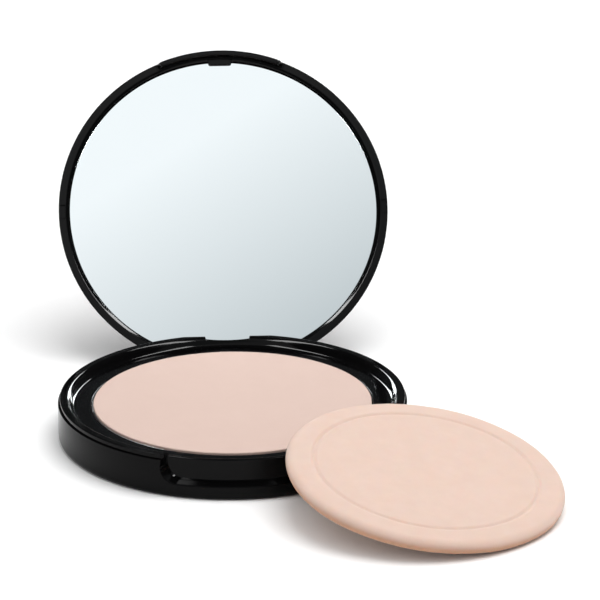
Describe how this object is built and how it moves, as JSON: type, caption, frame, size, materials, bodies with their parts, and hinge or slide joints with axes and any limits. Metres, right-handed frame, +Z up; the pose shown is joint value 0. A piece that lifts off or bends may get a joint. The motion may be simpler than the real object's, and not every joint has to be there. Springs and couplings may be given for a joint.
{
  "type": "powder compact",
  "caption": "Slim round hinged compact with a mirror in its lid, a pan of pressed powder in its base and a round foam puff leaning on the front rim.",
  "frame": {"origin": "centre of the flat underside of the base, on the table", "axes": "+Z up, -Y towards the thumb scoop at the front, +Y towards the hinge"},
  "size_m": [0.1034, 0.1501, 0.062],
  "materials": {
    "outer_plastic": "gloss black moulded plastic",
    "inner_plastic": "satin gloss black moulded plastic",
    "glue": "off-white double-sided adhesive",
    "pan_metal": "plain drawn sheet",
    "pressed_powder": "matte pressed powder, light beige pink",
    "pin_steel": "plain steel wire",
    "mirror_glass": "polished, silvered on the back",
    "puff_foam": "fine matte latex foam, pale peach"
  },
  "bodies": {
    "base": {"base_shell": "outer_plastic", "inner_tray": "inner_plastic", "pan_glue_disc": "glue", "powder_pan": "pan_metal", "powder_cake": "pressed_powder", "hinge_pin": "pin_steel"},
    "lid": {"lid_shell": "outer_plastic", "mirror_frame": "inner_plastic", "mirror": "mirror_glass", "mirror_tape": "glue"},
    "puff": {"foam_puff": "puff_foam"}
  },
  "joints": [
    {"name": "lid_hinge", "type": "hinge", "parent": "base", "child": "lid", "pos_m": [0, 0.0346, 0.0046], "axis": [1, 0, 0], "range_deg": [0, 124]},
    {"name": "puff_tip", "type": "hinge", "parent": "base", "child": "puff", "pos_m": [0.05772, -0.06041, 0.00166], "axis": [0.6691, 0.7431, 0], "range_deg": [0, 169]}
  ],
  "couplings": [
    {"joint": "puff_tip", "follows": "lid_hinge", "ratio": 1.3629}
  ]
}
